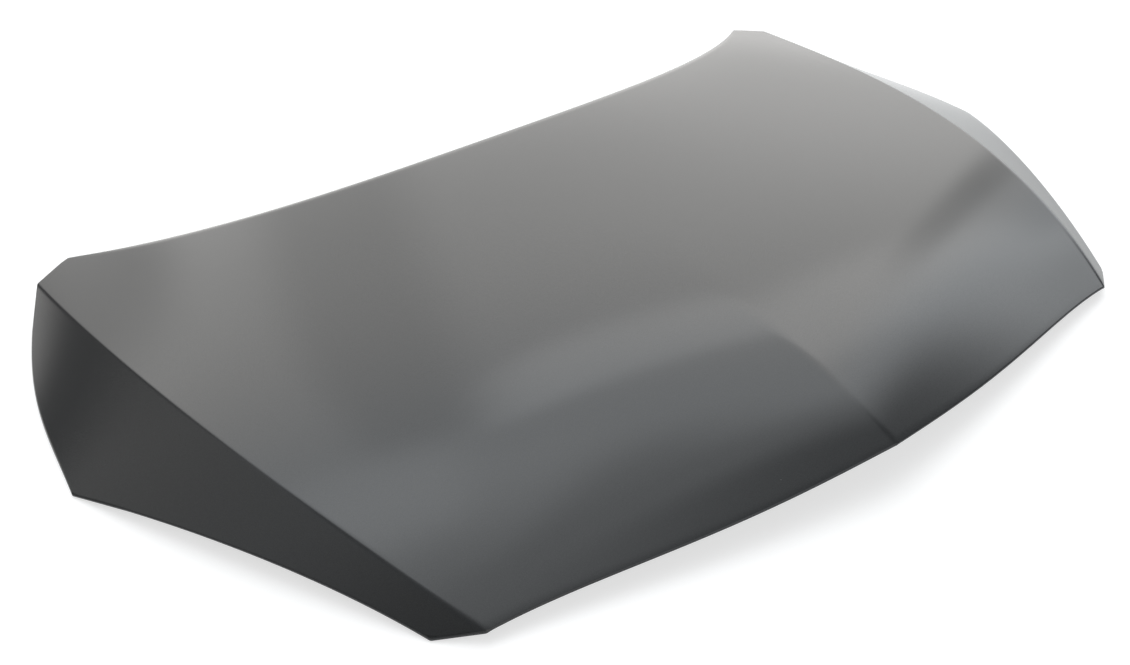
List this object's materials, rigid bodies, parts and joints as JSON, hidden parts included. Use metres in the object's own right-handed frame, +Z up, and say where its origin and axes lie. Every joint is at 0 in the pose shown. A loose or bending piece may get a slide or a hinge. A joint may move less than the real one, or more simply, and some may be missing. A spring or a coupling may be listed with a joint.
{
  "type": "car bonnet",
  "caption": "Pressed steel car bonnet: a crowned outer skin hemmed round a ribbed inner frame, with hinge plates, weld nuts, a latch plate and a bent-bar striker.",
  "frame": {"origin": "on the floor under the middle of the bonnet's plan, with the bonnet lying on its lower side corners, outer face up", "axes": "+X across the car towards the right of the picture, +Y from the nose edge to the windscreen edge, +Z up"},
  "size_m": [1.4798, 0.9704, 0.1075],
  "materials": {
    "ecoat_outer": "black primer dip coat, semi-gloss",
    "ecoat_inner": "black primer dip coat, satin",
    "plated_steel": "zinc plated",
    "mastic": "matt"
  },
  "bodies": {
    "root": {"outer_skin": "ecoat_outer", "inner_frame": "ecoat_inner", "hinge_plate_left": "ecoat_inner", "hinge_plate_right": "ecoat_inner", "hinge_nut_left_front": "plated_steel", "hinge_nut_left_rear": "plated_steel", "hinge_nut_right_front": "plated_steel", "hinge_nut_right_rear": "plated_steel", "latch_plate": "ecoat_inner", "striker_loop": "plated_steel", "mastic_drop_01": "mastic", "mastic_drop_02": "mastic", "mastic_drop_03": "mastic", "mastic_drop_04": "mastic", "mastic_drop_05": "mastic", "mastic_drop_06": "mastic", "mastic_drop_07": "mastic", "mastic_drop_08": "mastic", "mastic_drop_09": "mastic", "mastic_drop_10": "mastic", "mastic_drop_11": "mastic", "mastic_drop_12": "mastic", "mastic_drop_13": "mastic", "mastic_drop_14": "mastic", "mastic_drop_15": "mastic", "mastic_drop_16": "mastic", "mastic_drop_17": "mastic", "mastic_drop_18": "mastic", "mastic_drop_19": "mastic", "mastic_drop_20": "mastic", "mastic_drop_21": "mastic", "mastic_drop_22": "mastic", "mastic_drop_23": "mastic", "mastic_drop_24": "mastic"}
  },
  "joints": []
}
